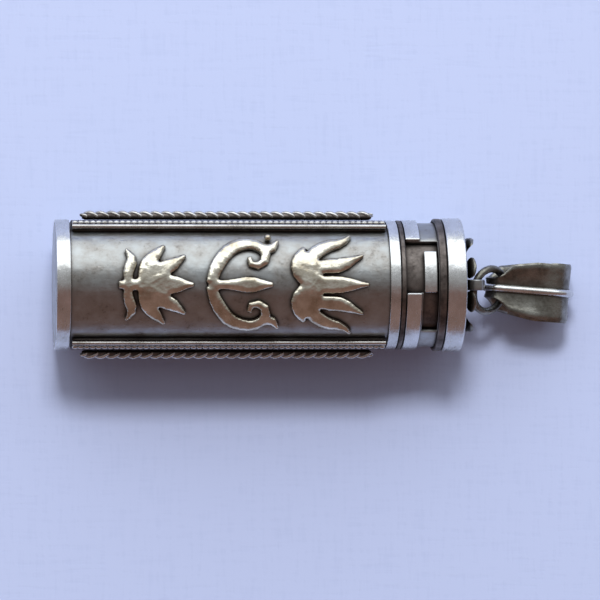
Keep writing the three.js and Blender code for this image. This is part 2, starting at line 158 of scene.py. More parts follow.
def rounded(profile, radius, points=4):
    """A closed profile of (x, radius) pairs with its corners rounded."""
    smooth = []
    count = len(profile)
    for i in range(count):
        corner = Vector(profile[i])
        before = Vector(profile[i - 1]) - corner
        after = Vector(profile[(i + 1) % count]) - corner
        cut = min(radius, before.length * 0.45, after.length * 0.45)
        first = corner + before.normalized() * cut
        last = corner + after.normalized() * cut
        for step in range(points + 1):
            t = step / points
            smooth.append((1 - t) ** 2 * first + 2 * t * (1 - t) * corner + t * t * last)
    return smooth


def turned(name, profile, body, material, replaces=(), wobble=0.0, seed=0):
    """A piece turned round the tube's axis from a closed (x, radius) profile, with the slight
    unevenness of handwork. wobble is in metres."""
    waves = 260  # swells of the unevenness per metre
    bm = bmesh.new()
    rows = []
    for i in range(TURNS):
        angle = 360 * i / TURNS
        row = []
        for x, radius in profile:
            uneven = noise.noise(around(x, radius, angle) * waves + Vector((seed, 0, 0)))
            row.append(bm.verts.new(around(x, radius + wobble * uneven, angle)))
        rows.append(row)
    grid_faces(bm, rows, loop_rows=True)
    finish_mesh(name, bm, body, material, replaces)


# ---- Materials ----------------------------------------------------------------------------


class Nodes:
    """Short calls for building one material's nodes."""

    def __init__(self, name, slot):
        self.material = bpy.data.materials.new(name)
        self.material.use_nodes = True
        self.material["slot"] = slot
        self.tree = self.material.node_tree
        self.shader = self.tree.nodes["Principled BSDF"]

    def add(self, kind, **sockets):
        node = self.tree.nodes.new(kind)
        for key, value in sockets.items():
            node.inputs[key.replace("_", " ")].default_value = value
        return node

    def link(self, output, socket):
        self.tree.links.new(output, socket)

    def noise(self, scale, detail=4.0, roughness=0.55, stretch=(1, 1, 1)):
        """Noise in the piece's own metres; scale is in features per metre."""
        place = self.add("ShaderNodeTexCoord")
        mapping = self.add("ShaderNodeMapping")
        mapping.inputs["Scale"].default_value = stretch
        self.link(place.outputs["Object"], mapping.inputs["Vector"])
        texture = self.add("ShaderNodeTexNoise", Scale=scale, Detail=detail, Roughness=roughness)
        self.link(mapping.outputs["Vector"], texture.inputs["Vector"])
        return texture.outputs["Fac"]

    def scale(self, source, low, high, to_low=0.0, to_high=1.0):
        """Maps low..high onto to_low..to_high and stops at both ends."""
        node = self.add("ShaderNodeMapRange")
        node.inputs["From Min"].default_value = low
        node.inputs["From Max"].default_value = high
        node.inputs["To Min"].default_value = to_low
        node.inputs["To Max"].default_value = to_high
        self.link(source, node.inputs["Value"])
        return node.outputs["Result"]

    def math(self, operation, a, b):
        """Combines two values, each a number or an output."""
        node = self.add("ShaderNodeMath")
        node.operation = operation
        for socket, value in zip(node.inputs, (a, b)):
            if isinstance(value, (int, float)):
                socket.default_value = value
            else:
                self.link(value, socket)
        node.use_clamp = operation in ("MULTIPLY", "ADD")
        return node.outputs["Value"]

    def mix(self, factor, first, second):
        """Mixes two colours, each a tuple or an output."""
        node = self.add("ShaderNodeMix")
        node.data_type = "RGBA"
        self.link(factor, node.inputs[0])
        for at, colour in ((6, first), (7, second)):
            if isinstance(colour, tuple):
                node.inputs[at].default_value = (*colour, 1)
            else:
                self.link(colour, node.inputs[at])
        return node.outputs[2]

    def occlusion(self, distance):
        """How open the surface is: 1 in the open, 0 in a closed corner."""
        node = self.add("ShaderNodeAmbientOcclusion", Distance=distance)
        node.samples = 8
        return node.outputs["AO"]

    def bump(self, *heights):
        """Stacks bumps of (height output, depth in metres)."""
        normal = None
        for height, depth in heights:
            node = self.add("ShaderNodeBump", Strength=1.0, Distance=depth)
            self.link(height, node.inputs["Height"])
            if normal:
                self.link(normal, node.inputs["Normal"])
            normal = node.outputs["Normal"]
        self.link(normal, self.shader.inputs["Normal"])


def metal(name, slot, clean, worn, dark, tarnish, recess, shut=0.93, rough=(0.24, 0.5),
          grain=(1, 1, 1), dents=0.06, marks=0.008):
    """Old metal: clean colour broken by worn and tarnished patches, darkened in its corners and
    recesses by an occlusion mask: partly the tarnish that gathers there, partly painted shade.
    tarnish is how much of the open surface is dark, recess the reach of the painted dark corners
    and shut how open a corner still is when it starts to darken. rough is the roughness of clean
    and of dark metal, grain stretches the scratches, and dents and marks are their depths in mm."""
    n = Nodes(name, slot)
    n.shader.inputs["Metallic"].default_value = 1.0
    patches = n.noise(420, 6, 0.62)
    fine = n.noise(2600, 4, 0.6)
    scratches = n.noise(3600, 3, 0.65, stretch=grain)
    colour = n.mix(n.scale(patches, 0.35, 0.65), clean, worn)
    spread = n.math("ADD", n.math("MULTIPLY", patches, 0.6), n.math("MULTIPLY", fine, 0.4))
    # A dark film lies where the noise is high; tarnish lowers the level at which it starts.
    film = n.scale(spread, 0.62 - 0.35 * tarnish, 0.78 - 0.2 * tarnish)
    # Painted shade: the occlusion mask darkens closed corners and recesses, where shade falls,
    # along with the tarnish that gathers there.
    closed = n.scale(n.occlusion(recess), shut, shut - 0.5)
    # Darkened by the tarnish film or by the painted shade in corners, whichever is stronger.
    tarnish_and_painted_shade = n.math("MAXIMUM", n.math("MULTIPLY", film, 0.75), closed)
    n.link(n.mix(tarnish_and_painted_shade, colour, dark), n.shader.inputs["Base Color"])
    polish = n.scale(scratches, 0.3, 0.7, rough[0], rough[0] + 0.1)
    roughness = n.math("ADD", polish, n.math("MULTIPLY", tarnish_and_painted_shade, rough[1] - rough[0]))
    n.link(roughness, n.shader.inputs["Roughness"])
    n.bump((n.noise(700, 3, 0.5), dents * mm), (scratches, marks * mm))
    return n.material


def matte(name, slot, first, second, scale, rough, depth):
    """Paper or thread: two colours in patches, which also roughen its surface."""
    n = Nodes(name, slot)
    pattern = n.noise(scale, 5, 0.6)
    n.link(n.mix(n.scale(pattern, 0.3, 0.7), first, second), n.shader.inputs["Base Color"])
    n.link(n.scale(pattern, 0.2, 0.8, rough - 0.1, rough + 0.05), n.shader.inputs["Roughness"])
    n.bump((pattern, depth))
    return n.material


# Each metal's recess and shut set how far its painted shade in corners reaches, together with the
# tarnish there.
SILVER = metal(
    "silver", "silver", (0.39, 0.405, 0.405), (0.29, 0.275, 0.255), (0.03, 0.022, 0.018),
    tarnish=0.18, recess=1.1 * mm, shut=0.9, rough=(0.26, 0.5), grain=(0.15, 1, 1),
)
RING_SILVER = metal(
    "ring_silver", "bright_silver", (0.72, 0.73, 0.73), (0.56, 0.56, 0.54), (0.05, 0.042, 0.038),
    tarnish=0.1, recess=0.6 * mm, rough=(0.2, 0.42), grain=(1, 0.2, 0.2), dents=0.05, marks=0.003,
)
DARK_SILVER = metal(
    "dark_silver", "dark_silver", (0.2, 0.175, 0.16), (0.12, 0.1, 0.09), (0.02, 0.017, 0.016),
    tarnish=0.5, recess=0.9 * mm, rough=(0.36, 0.6),
)
STRAP_SILVER = metal(
    "strap_silver", "silver", (0.3, 0.295, 0.265), (0.16, 0.15, 0.125), (0.025, 0.02, 0.017),
    tarnish=0.4, recess=1.3 * mm, shut=0.96, rough=(0.22, 0.48), grain=(0.3, 1, 1),
)
TRIM_SILVER = metal(
    "trim_silver", "silver", (0.6, 0.59, 0.57), (0.42, 0.4, 0.37), (0.03, 0.025, 0.023),
    tarnish=0.2, recess=0.35 * mm, shut=0.75, rough=(0.2, 0.45), dents=0.02,
)
BRASS = metal(
    "brass", "brass", (0.8, 0.77, 0.66), (0.46, 0.4, 0.3), (0.065, 0.047, 0.033),
    tarnish=0.06, recess=0.4 * mm, shut=0.88, rough=(0.17, 0.4), grain=(1, 0.3, 1), dents=0.1,
)
PAPER = matte("paper", "paper", (0.66, 0.55, 0.36), (0.52, 0.41, 0.25), 1500, 0.88, 0.05 * mm)
THREAD = matte("thread", "thread", (0.4, 0.06, 0.05), (0.26, 0.03, 0.03), 3000, 0.92, 0.04 * mm)


# ---- Tube, base and neck ------------------------------------------------------------------


def hoop(node, body, material, inner, rounding, wobble=0.02, seed=0):
    """A ring round the tube with rounded edges, from the box of its CAD node. rounding and
    wobble are in mm."""
    start, end, _ = span(node)
    outer = outer_radius(node) - wobble * mm
    profile = rounded([(start, inner), (start, outer), (end, outer), (end, inner)], rounding * mm)
    turned(node + "_fine", profile, body, material, (node,), wobble * mm, seed)


def bent_block(name, node, inner, outer, body, material, rounding, seed):
    """A block bent round the tube with all its edges rounded, where its CAD node lies.
    rounding is in mm."""
    start, end, _ = span(node)
    first, last = arc_of(node)
    arc = math.radians(last - first) * outer
    reach = rounding * mm
    wobble = 0.015 * mm
    degrees_per_step = 1.5
    steps = max(12, round((last - first) / degrees_per_step))
    edge = [reach * (1 - math.cos(math.pi / 2 * i / 4)) for i in range(5)]
    places = edge + [arc * i / steps for i in range(1, steps)] + [arc - e for e in reversed(edge)]
    places = sorted(place for place in places if 0 <= place <= arc)
    bm = bmesh.new()
    rows = []
    for place in places:
        near = min(place, arc - place, reach)
        inset = reach - math.sqrt(max(reach ** 2 - (reach - near) ** 2, 0))
        profile = rounded([
            (start + inset, inner), (start + inset, outer - inset),
            (end - inset, outer - inset), (end - inset, inner),
        ], reach)
        angle = first + math.degrees(place / outer)
        row = []
        for x, radius in profile:
            spot = around(x, radius, angle)
            uneven = wobble * noise.noise(spot * 400 + Vector((seed, 0, 0)))
            row.append(bm.verts.new(around(x, radius - abs(uneven), angle)))
        rows.append(row)
    bar_faces(bm, rows)
    finish_mesh(name, bm, body, material, (node,))


def make_tube():
    """The tube's wall in faces short enough to show its unevenness, its base and its rings."""
    inner = TUBE - TUBE_WALL
    face_length = 0.6 * mm
    wall = rounded(
        [(TUBE_START, inner), (TUBE_START, TUBE), (TUBE_END, TUBE), (TUBE_END, inner)], 0.08 * mm
    )
    fine = [wall[0]]
    for place in wall[1:] + wall[:1]:
        gap = (place - fine[-1]).length
        pieces = max(1, round(gap / face_length))
        fine += [fine[-1].lerp(place, i / pieces) for i in range(1, pieces + 1)]
    turned("tube_wall", fine[:-1], "body", SILVER, ("body_tube",), 0.03 * mm)
    start, end, _ = span("base_plate")
    bevel = [(start + 0.1 * mm, TUBE), (start, TUBE - 0.15 * mm)]
    plate = [(end, PIN_HOLE), (end, TUBE), *bevel, (start, PIN_HOLE)]
    turned("base_disc", plate, "body", SILVER, ("base_plate",))
    hoop("base_ring", "body", RING_SILVER, TUBE + SOLDER_GAP, 0.28, 0.03, 3)
    hoop("collar_ring", "body", RING_SILVER, TUBE + SOLDER_GAP, 0.2, 0.03, 5)


def make_neck():
    start, end, _ = span("neck_tube")
    outer = outer_radius("neck_tube")
    inner = outer - NECK_WALL
    wall = rounded([(start, inner), (start, outer), (end, outer), (end, inner)], 0.12 * mm)
    turned("neck_sleeve", wall, "body", DARK_SILVER, ("neck_tube",), 0.01 * mm)
    for side in (1, 2):
        node = f"neck_lug_{side}"
        bent_block(f"lug_{side}", node, outer, outer + LUG_RISE, "body", RING_SILVER, 0.16, side)
    # The washer is made dark all over, to give the dark line between the collar and the cap band.
    hoop("neck_washer", "neck_washer", DARK_SILVER, outer + RUNNING_GAP, 0.25, 0.02, 9)


# ---- Cap ----------------------------------------------------------------------------------


def make_skirt():
    """The cap's sleeve with its two L-shaped slots: a grid with the slots left out, given
    its thickness and soft edges by modifiers."""
    start, end, _ = span("cap_skirt")
    outer = outer_radius("cap_skirt")
    lug_start, lug_end, _ = span("neck_lug_1")
    slot_start, slot_end = lug_start - RUNNING_GAP, lug_end + RUNNING_GAP
    lug_low, lug_high = arc_of("neck_lug_1")
    entry_low = arc_of("cap_band_1")[1]
    entry_high = arc_of("cap_band_2")[0]
    entry_high += 360 if entry_high < entry_low else 0
    pocket_play = 0.6  # degrees by which the pocket is longer than the lug
    pocket_low = entry_low - (lug_high - lug_low) - pocket_play

    def in_slot(x, angle):
        for half in (0, 180):
            turn = (angle - half - pocket_low) % 360 + pocket_low
            if entry_low <= turn <= entry_high and x < slot_end:
                return True
            if pocket_low <= turn <= entry_low + 0.01 and slot_start < x < slot_end:
                return True
        return False

    # Its lines round the tube meet the slots' sides, with even faces between them.
    corners = sorted({
        round((edge + half) % 360, 4)
        for edge in (pocket_low, entry_low, entry_high)
        for half in (0, 180)
    })
    degrees_per_face = 2.5
    angles = []
    for i, corner in enumerate(corners):
        following = corners[(i + 1) % len(corners)] + (360 if i == len(corners) - 1 else 0)
        pieces = max(1, round((following - corner) / degrees_per_face))
        angles += [corner + (following - corner) * k / pieces for k in range(pieces)]
    # The grid's lines along the tube meet both edges of the pockets.
    lines = [start, start + 0.6 * mm, start + 1.2 * mm, slot_start]
    lines += [slot_start + (slot_end - slot_start) * k / 4 for k in range(1, 5)]
    lines += [slot_end + (end - slot_end) * k / 6 for k in range(1, 7)]
    bm = bmesh.new()
    rows = [[bm.verts.new(around(x, outer, angle)) for x in lines] for angle in angles]
    for i, row in enumerate(rows):
        after = rows[(i + 1) % len(rows)]
        following = angles[(i + 1) % len(rows)] + (360 if i == len(rows) - 1 else 0)
        for j in range(len(lines) - 1):
            if not in_slot((lines[j] + lines[j + 1]) / 2, (angles[i] + following) / 2):
                bm.faces.new((row[j], row[j + 1], after[j + 1], after[j]))
    loose = [vert for vert in bm.verts if not vert.link_faces]
    bmesh.ops.delete(bm, geom=loose, context="VERTS")
    bmesh.ops.recalc_face_normals(bm, faces=bm.faces)
    face = bm.faces[:][0]
    if face.normal.dot(face.calc_center_median() - AXIS) < 0:
        bmesh.ops.reverse_faces(bm, faces=bm.faces[:])
    mesh = bpy.data.meshes.new("skirt")
    bm.to_mesh(mesh)
    bm.free()
    piece = bpy.data.objects.new("skirt", mesh)
    bpy.context.scene.collection.objects.link(piece)
    solid = piece.modifiers.new("wall", "SOLIDIFY")
    solid.thickness = SKIRT_WALL
    solid.offset = -1
    bevel = piece.modifiers.new("edges", "BEVEL")
    bevel.width = 0.07 * mm
    bevel.segments = 3
    bevel.angle_limit = math.radians(50)
    apply_modifiers(piece)
    finish_piece(piece, "cap", SILVER, ("cap_skirt",), 40)


def make_dome():
    start, end, _ = span("cap_dome")
    outer = outer_radius("cap_skirt")
    rise = end - start
    thick = 0.45 * mm
    steps = 14

    def arc(radius, height):
        turns = [math.pi / 2 * i / steps for i in range(steps)]
        return [(start + height * math.sin(turn), radius * math.cos(turn)) for turn in turns]

    outside = [*arc(outer, rise), (end, PIN_HOLE)]
    inside = [*arc(outer - SKIRT_WALL, rise - thick), (end - thick, PIN_HOLE)]
    turned("dome", [*outside, *reversed(inside)], "cap", DARK_SILVER, ("cap_dome",), 0.02 * mm, 4)


def make_petals():
    """Small leaves that rise from the dome and curl outwards, each with a hollowed face."""
    dome_start, dome_end, _ = span("cap_dome")
    root = dome_start + (dome_end - dome_start) * 0.66
    inner, outer = 4.45 * mm, 5.75 * mm  # from the axis to a leaf's root and its tip
    half_width, half_thickness, hollow = 1.3 * mm, 0.24 * mm, 0.2 * mm
    short_of_tip = 0.1 * mm
    steps, sides = 20, 16
    for number in range(1, 9):
        node = f"cap_petal_{number}"
        _, tip, _ = span(node)
        middle, _ = middle_of(node)
        tangent = around(0, 1, middle + 90) - AXIS
        bm = bmesh.new()
        rows = []
        for step in range(steps + 1):
            t = step / steps
            # The leaf leans out as it rises, is widest near its middle and thins to a round tip.
            radius = inner + (outer - inner) * math.sin(t * math.pi / 2)
            x = root + (tip - root - short_of_tip) * t ** 1.4
            tip_round = math.sqrt(1 - max((t - 0.8) / 0.21, 0) ** 2)
            half = half_width * (1 - 0.35 * abs(1.9 * t - 0.9) ** 2) * tip_round
            deep = half_thickness * (1 - 0.3 * t) * (0.4 + 0.6 * tip_round)
            row = []
            for side in range(sides):
                turn = 2 * math.pi * side / sides
                across = half * math.cos(turn)
                out = deep * math.sin(turn) + hollow * math.cos(turn) ** 2 * (1 - 0.3 * t)
                place = around(x + out * (1 - t), radius - out * t, middle)
                row.append(bm.verts.new(place + across * tangent))
            rows.append(row)
        bar_faces(bm, rows)
        finish_mesh(f"petal_{number}", bm, "cap", STRAP_SILVER, (node,), 60)


def make_eye():
    """The dome's eye: a short ring turned about an axis along Y."""
    low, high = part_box("cap_eye")
    centre = Vector([(a + b) / 2 for a, b in zip(low, high)])
    radius, half = (high[0] - low[0]) / 2, (high[1] - low[1]) / 2
    hole = 0.72 * mm
    profile = rounded([(hole, -half), (radius, -half), (radius, half), (hole, half)], 0.3 * mm, 6)
    sides = 72
    bm = bmesh.new()
    rows = []
    for i in range(sides):
        turn = 2 * math.pi * i / sides
        out = Vector((math.cos(turn), 0, math.sin(turn)))
        rows.append([bm.verts.new(centre + out * away + Vector((0, y, 0))) for away, y in profile])
    grid_faces(bm, rows, loop_rows=True)
    finish_mesh("eye", bm, "cap", SILVER, ("cap_eye",))


def make_cap():
    make_skirt()
    outer = outer_radius("cap_skirt")
    band = outer_radius("collar_ring")
    for side in (1, 2):
        node = f"cap_band_{side}"
        bent_block(f"band_{side}", node, outer, band, "cap", RING_SILVER, 0.14, 20 + side)
    # The root ring is made in dark silver, a painted shade for the shadow it lies in beside the
    # rim ring.
    hoop("cap_root_ring", "cap", DARK_SILVER, outer, 0.42, 0.02, 11)
    hoop("cap_rim_ring", "cap", RING_SILVER, outer, 0.45, 0.03, 13)
    make_dome()
    make_petals()
    make_eye()


# ---- Jump ring and bail -------------------------------------------------------------------

joints = {joint["name"]: joint for joint in frame["joints"]}
EYE = Vector(joints["ring_swing"]["pos_m"])
WIRE = Vector(joints["bail_swing"]["pos_m"])
# The bail seen from the side: its strap turns tightly round the ring's wire at the tip and
# widely at the fold.
TIP, FOLD = 1.425 * mm, 2.625 * mm  # radii of the two turns, to the middle of the strap
CENTRES = 5.9 * mm  # from the centre of one turn to the other's
THICK = 0.55 * mm
TIP_TO_WIRE = 0.5 * mm


def make_jump_ring():
    """A round wire bent to a ring that passes through the eye, with a seam where it closes."""
    wire = 0.45 * mm
    seam_place, seam_depth, seam_width = 0.16, 0.12, 0.9  # shares of the turn and wire; steps
    low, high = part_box("jump_ring")
    centre = (Vector(low) + Vector(high)) / 2
    along = (centre - EYE).normalized()
    radius = (centre - EYE).length
    side = Vector((0, 0, 1)).cross(along).normalized()
    up = along.cross(side)
    bm = bmesh.new()
    rows = []
    steps, sides = 96, 20
    for i in range(steps):
        turn = 2 * math.pi * i / steps
        out = along * math.cos(turn) + side * math.sin(turn)
        seam = 1 - seam_depth * math.exp(-((i - steps * seam_place) / seam_width) ** 2)
        row = []
        for k in range(sides):
            round_wire = 2 * math.pi * k / sides
            row.append(bm.verts.new(
                centre + out * (radius + wire * seam * math.cos(round_wire))
                + up * wire * seam * math.sin(round_wire)
            ))
        rows.append(row)
    grid_faces(bm, rows, loop_rows=True)
    finish_mesh("link", bm, "jump_ring", STRAP_SILVER, ("jump_ring",), 60)


def bail_loop(count):
    """Places round the bail seen from the side, as (x, z) and the outward direction there. They
    run round the fold, along the upper leaf, round the tip and back along the lower leaf."""
    slope = math.asin((FOLD - TIP) / CENTRES)
    half_turn = math.pi / 2
    fold_arc = FOLD * 2 * (half_turn + slope)
    tip_arc = TIP * 2 * (half_turn - slope)
    leaf = CENTRES * math.cos(slope)
    whole = fold_arc + tip_arc + 2 * leaf
    places = []
    for i in range(count):
        run = whole * i / count
        if run < fold_arc:
            turn = -half_turn - slope + run / FOLD
            out = Vector((math.cos(turn), math.sin(turn)))
            places.append((Vector((CENTRES, 0)) + out * FOLD, out))
            continue
        run -= fold_arc
        if run < leaf:
            out = Vector((-math.sin(slope), math.cos(slope)))
            share = 1 - run / leaf
        elif run < leaf + tip_arc:
            turn = half_turn + slope + (run - leaf) / TIP
            out = Vector((math.cos(turn), math.sin(turn)))
            places.append((out * TIP, out))
            continue
        else:
            out = Vector((-math.sin(slope), -math.cos(slope)))
            share = (run - leaf - tip_arc) / leaf
        places.append((Vector((share * CENTRES, 0)) + out * (TIP + share * (FOLD - TIP)), out))
    return places


def smooth(value, low, high):
    """Eases from 0 at low to 1 at high."""
    t = min(max((value - low) / (high - low), 0), 1)
    return t * t * (3 - 2 * t)


def bail_half_width(x):
    """Half the strap's width, which grows past the ring and again towards the fold."""
    tip_width, neck_growth, fold_growth = 2.5 * mm, 2.9 * mm, 1.7 * mm
    neck = tip_width + neck_growth * smooth(x, -TIP + THICK / 2, TIP_TO_WIRE + 0.4 * mm)
    rest = min(max((x - TIP_TO_WIRE) / (CENTRES - TIP_TO_WIRE), 0), 1)
    return (neck + fold_growth * rest) / 2


def bail_frame():
    """The bail's own directions: ahead to the fold, across the strap, and up."""
    axis = Vector(joints["bail_swing"]["axis"]).normalized() * -1
    fold_height = 3.5 * mm  # of the fold's centre, so that the rib lies on the floor
    pitch = math.asin((WIRE.z - fold_height) / (CENTRES - TIP_TO_WIRE))
    ahead = Vector((axis.y, -axis.x, 0))
    turn = Matrix.Rotation(pitch, 3, axis)
    ahead = turn @ ahead
    up = ahead.cross(axis)
    return ahead, axis, up


def make_bail():
    """The strap with its edges turned up, and the half-round rib along its outside."""
    ahead, side, up = bail_frame()
    origin = WIRE - ahead * TIP_TO_WIRE

    def place(x, y, z):
        return origin + ahead * x + side * y + up * z

    across = [i / 10 - 1 for i in range(21)]
    edge_flare, fold_flare = 0.6 * mm, 0.1 * mm  # how far the edges turn up
    flat, filed = 0.93, 0.07  # shares of the half width
    bm = bmesh.new()
    rows = []
    for at, out in bail_loop(150):
        half = bail_half_width(at.x)
        flare = edge_flare * half / bail_half_width(CENTRES)
        flare += (fold_flare - flare) * smooth(at.x, CENTRES * 0.5, CENTRES)
        row = []
        for level, shares in ((0.5, across), (-0.5, across[::-1])):
            for share in shares:
                edge = max(abs(share) - flat, 0) / filed
                lift = flare * share * share + level * THICK * (1 - 0.55 * edge ** 2)
                spot = at + out * lift
                row.append(bm.verts.new(place(spot.x, share * half, spot.y)))
        rows.append(row)
    grid_faces(bm, rows, loop_rows=True)
    finish_mesh("strap", bm, "bail", STRAP_SILVER, ("bail_strap",), 50)

    rib_half, rib_rise, rib_bed = 0.5 * mm, 0.69 * mm, 0.1 * mm
    points = 14
    bm = bmesh.new()
    rows = []
    for at, out in bail_loop(200):
        row = []
        for k in range(points):
            turn = math.pi * k / (points - 1)
            lift = THICK / 2 - rib_bed + rib_rise * math.sin(turn)
            spot = at + out * lift
            row.append(bm.verts.new(place(spot.x, -rib_half * math.cos(turn), spot.y)))
        rows.append(row)
    grid_faces(bm, rows, loop_rows=True)
    finish_mesh("rib", bm, "bail", RING_SILVER, ("bail_rib",), 60)


# ---- Trim along the sides -----------------------------------------------------------------


def outer_width(node):
    low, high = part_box(node)
    return high[2] - low[2]


def middle_of(node):
    """The angle and the distance from the axis of a wire that runs along the tube."""
    low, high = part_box(node)
    y, z = (low[1] + high[1]) / 2 - AXIS.y, (low[2] + high[2]) / 2 - AXIS.z
    return math.degrees(math.atan2(y, z)), math.hypot(y, z)


def straight_wire(name, angle, distance, radii, sides, material, replaces=()):
    """A straight wire along the tube, from (x, radius) pairs."""
    out = around(0, 1, angle) - AXIS
    side = around(0, 1, angle + 90) - AXIS
    bm = bmesh.new()
    rows = []
    for x, radius in radii:
        centre = around(x, distance, angle)
        row = []
        for k in range(sides):
            turn = 2 * math.pi * k / sides
            row.append(bm.verts.new(
                centre + radius * (out * math.cos(turn) + side * math.sin(turn))
            ))
        rows.append(row)
    bar_faces(bm, rows)
    finish_mesh(name, bm, "body", material, replaces, 50)


def make_edge_wire(number):
    node = f"edge_wire_{number}"
    start, end, _ = span(node)
    steps = 90
    thin, sway = 0.28 * mm, 0.02 * mm
    radii = []
    for i in range(steps + 1):
        x = start + (end - start) * i / steps
        radii.append((x, thin + sway * noise.noise(Vector((x * 600, number, 0)))))
    straight_wire(f"border_{number}", *middle_of(node), radii, 12, TRIM_SILVER, (node,))


def make_bead_wire(number):
    node = f"bead_wire_{number}"
    start, end, _ = span(node)
    pitch, neck, swell = 0.7 * mm, 0.14 * mm, 0.16 * mm
    count = int((end - start) / pitch)
    radii = []
    for bead in range(count):
        for step in range(6):
            t = step / 6
            x = start + (end - start) * (bead + t) / count
            radii.append((x, neck + swell * math.sqrt(math.sin(math.pi * t)) if t else neck))
    radii.append((end, neck))
    straight_wire(f"beads_{number}", *middle_of(node), radii, 10, TRIM_SILVER, (node,))


def make_rope(number):
    """Two strands twisted together, which thin out where they end, in a bed of solder. The
    ropes on the two sides are twisted opposite ways."""
    node = f"rope_wire_{number}"
    start, end, _ = span(node)
    angle, distance = middle_of(node)
    out = around(0, 1, angle) - AXIS
    side = around(0, 1, angle + 90) - AXIS
    strand, lay = outer_width(node) / 4, 2.6 * mm
    taper, blunt = 0.8 * mm, 0.35  # length of the thinning and the share left at the tip
    hand = -1 if angle > 0 else 1
    slope = hand * 2 * math.pi * strand / lay
    steps = round((end - start) / lay * 22)
    bm = bmesh.new()
    for which in (0, 1):
        rows = []
        for i in range(steps + 1):
            x = start + (end - start) * i / steps
            thin = min(1, blunt + (x - start) / taper, blunt + (end - x) / taper)
            sway = 0.04 * mm * noise.noise(Vector((x * 120, number, which)))
            twist = hand * 2 * math.pi * x / lay + math.pi * which
            first = out * math.cos(twist) + side * math.sin(twist)
            centre = around(x, distance + sway, angle) + strand * thin * first
            around_strand = -out * math.sin(twist) + side * math.cos(twist)
            ahead = (Vector((1, 0, 0)) + slope * around_strand).normalized()
            second = ahead.cross(first)
            row = []
            for k in range(12):
                turn = 2 * math.pi * k / 12
                rim = first * math.cos(turn) + second * math.sin(turn)
                row.append(bm.verts.new(centre + strand * thin * 0.99 * rim))
            rows.append(row)
        bar_faces(bm, rows)
    finish_mesh(f"rope_{number}", bm, "body", TRIM_SILVER, (node,), 60)
    bed = [(start + 0.2 * mm, 0.25 * mm), (start + 0.5 * mm, 0.42 * mm)]
    bed += [(end - 0.5 * mm, 0.42 * mm), (end - 0.2 * mm, 0.25 * mm)]
    straight_wire(f"rope_solder_{number}", angle, distance - 0.16 * mm, bed, 14, DARK_SILVER)


def make_trim():
    strip_top = TUBE + 0.3 * mm
    for number in (1, 2):
        node = f"side_strip_{number}"
        bent_block(f"strip_{number}", node, TUBE, strip_top, "body", DARK_SILVER, 0.1, number)
        make_rope(number)
    for number in (1, 2, 3, 4):
        make_edge_wire(number)
        make_bead_wire(number)


# ---- Ornaments ----------------------------------------------------------------------------


def radial(place):
    """The outward direction at a place and its distance from the tube's axis."""
    out = Vector((0, place.y - AXIS.y, place.z - AXIS.z))
    return out.normalized(), out.length


def make_ornament(node):
    """The CAD ornament with its sawn edges filed round and its face slightly uneven. A vertex
    near the top is lowered more the closer it is to the nearest wall."""
    source = frame["nodes"][node]
    filing, reach = 0.3 * mm, 0.7 * mm  # depth at the rim and how far in it goes
    dents = 0.06 * mm
    piece = bpy.data.objects.new(node + "_fine", source.data.copy())
    bpy.context.scene.collection.objects.link(piece)
    remesh = piece.modifiers.new("even", "REMESH")
    remesh.mode = "VOXEL"
    remesh.voxel_size = 0.11 * mm
    soften = piece.modifiers.new("worn", "SMOOTH")
    soften.factor = 0.5
    soften.iterations = 4
    apply_modifiers(piece)
    verts = piece.data.vertices
    top = max(radial(vert.co)[1] for vert in verts)
    walls = [vert for vert in verts if abs(vert.normal.dot(radial(vert.co)[0])) < 0.5]
    tree = kdtree.KDTree(len(walls))
    for vert in walls:
        tree.insert(vert.co, vert.index)
    tree.balance()
    moves = {}
    for vert in verts:
        out, radius = radial(vert.co)
        level = (radius - TUBE) / (top - TUBE)
        if level > 0.6:
            _, _, inward = tree.find(vert.co)
            filed = filing * max(1 - inward / reach, 0) ** 2
            uneven = dents * (noise.noise(vert.co * 500) - 0.5)
            moves[vert.index] = out * (uneven - filed)
    for index, move in moves.items():
        verts[index].co += move
    piece.data.materials.clear()
    finish_piece(piece, "body", BRASS, (node,), 60)


def make_granule():
    low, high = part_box("granule")
    centre = (Vector(low) + Vector(high)) / 2
    radius = (high[0] - low[0]) / 2
    bm = bmesh.new()
    bmesh.ops.create_icosphere(bm, subdivisions=4, radius=radius * 0.97)
    for vert in bm.verts:
        vert.co *= 1 + 0.06 * noise.noise(vert.co * 1800)
        vert.co += centre
    finish_mesh("granule_fine", bm, "body", BRASS, ("granule",), 60)


def make_ornaments():
    for panel in ("front", "back"):
        for number in (1, 2, 3):
            make_ornament(f"ornament_{panel}_{number}")
    make_granule()


# ---- Scroll inside ------------------------------------------------------------------------


